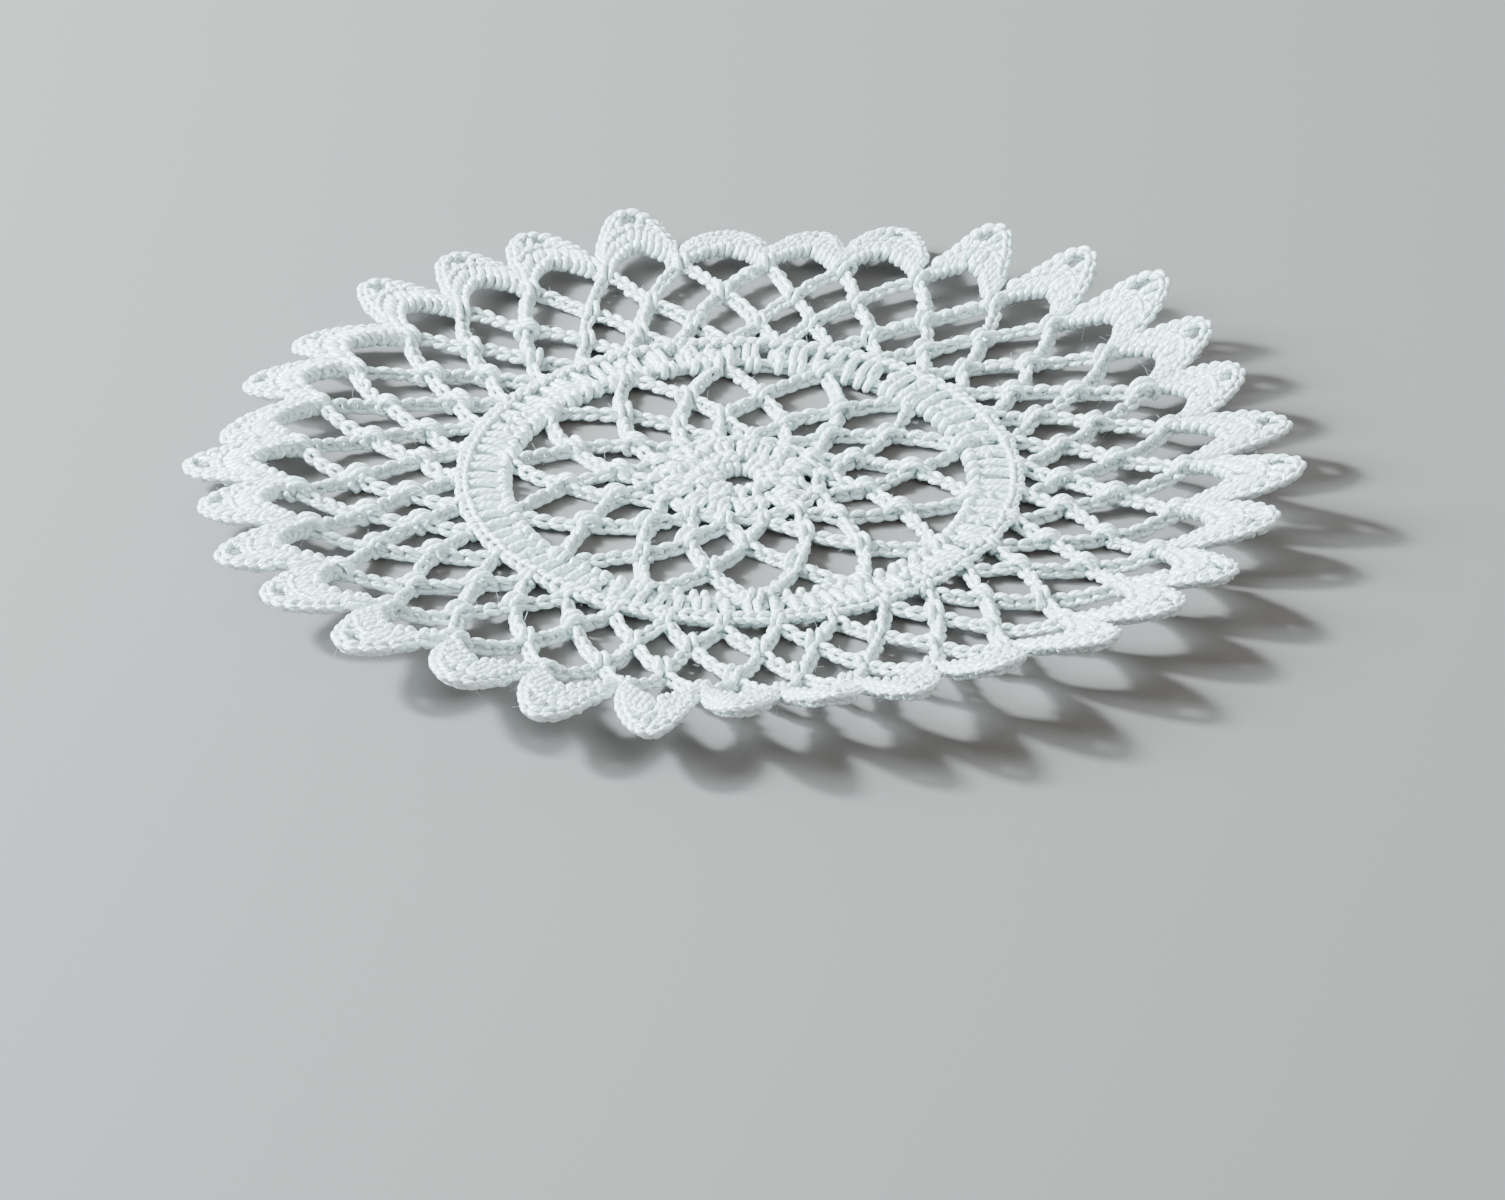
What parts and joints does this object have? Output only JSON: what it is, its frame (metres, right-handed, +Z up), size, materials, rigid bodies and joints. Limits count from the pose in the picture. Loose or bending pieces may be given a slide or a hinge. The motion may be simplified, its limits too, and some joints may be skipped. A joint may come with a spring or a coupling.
{
  "type": "crocheted lace doily",
  "caption": "Round crocheted lace doily with a closed middle, two nets of chain arches parted by a ring of tall stitches, and a scalloped edge that lifts and droops unevenly.",
  "frame": {"origin": "on the surface the doily lies on, under the middle of its outline", "axes": "+Z up, away from the surface; +X and +Y lie in the surface"},
  "size_m": [0.1486, 0.1419, 0.0104],
  "materials": {
    "white_cotton": "matte cotton thread with a slight sheen"
  },
  "bodies": {
    "root": {"doily": "white_cotton"}
  },
  "joints": []
}
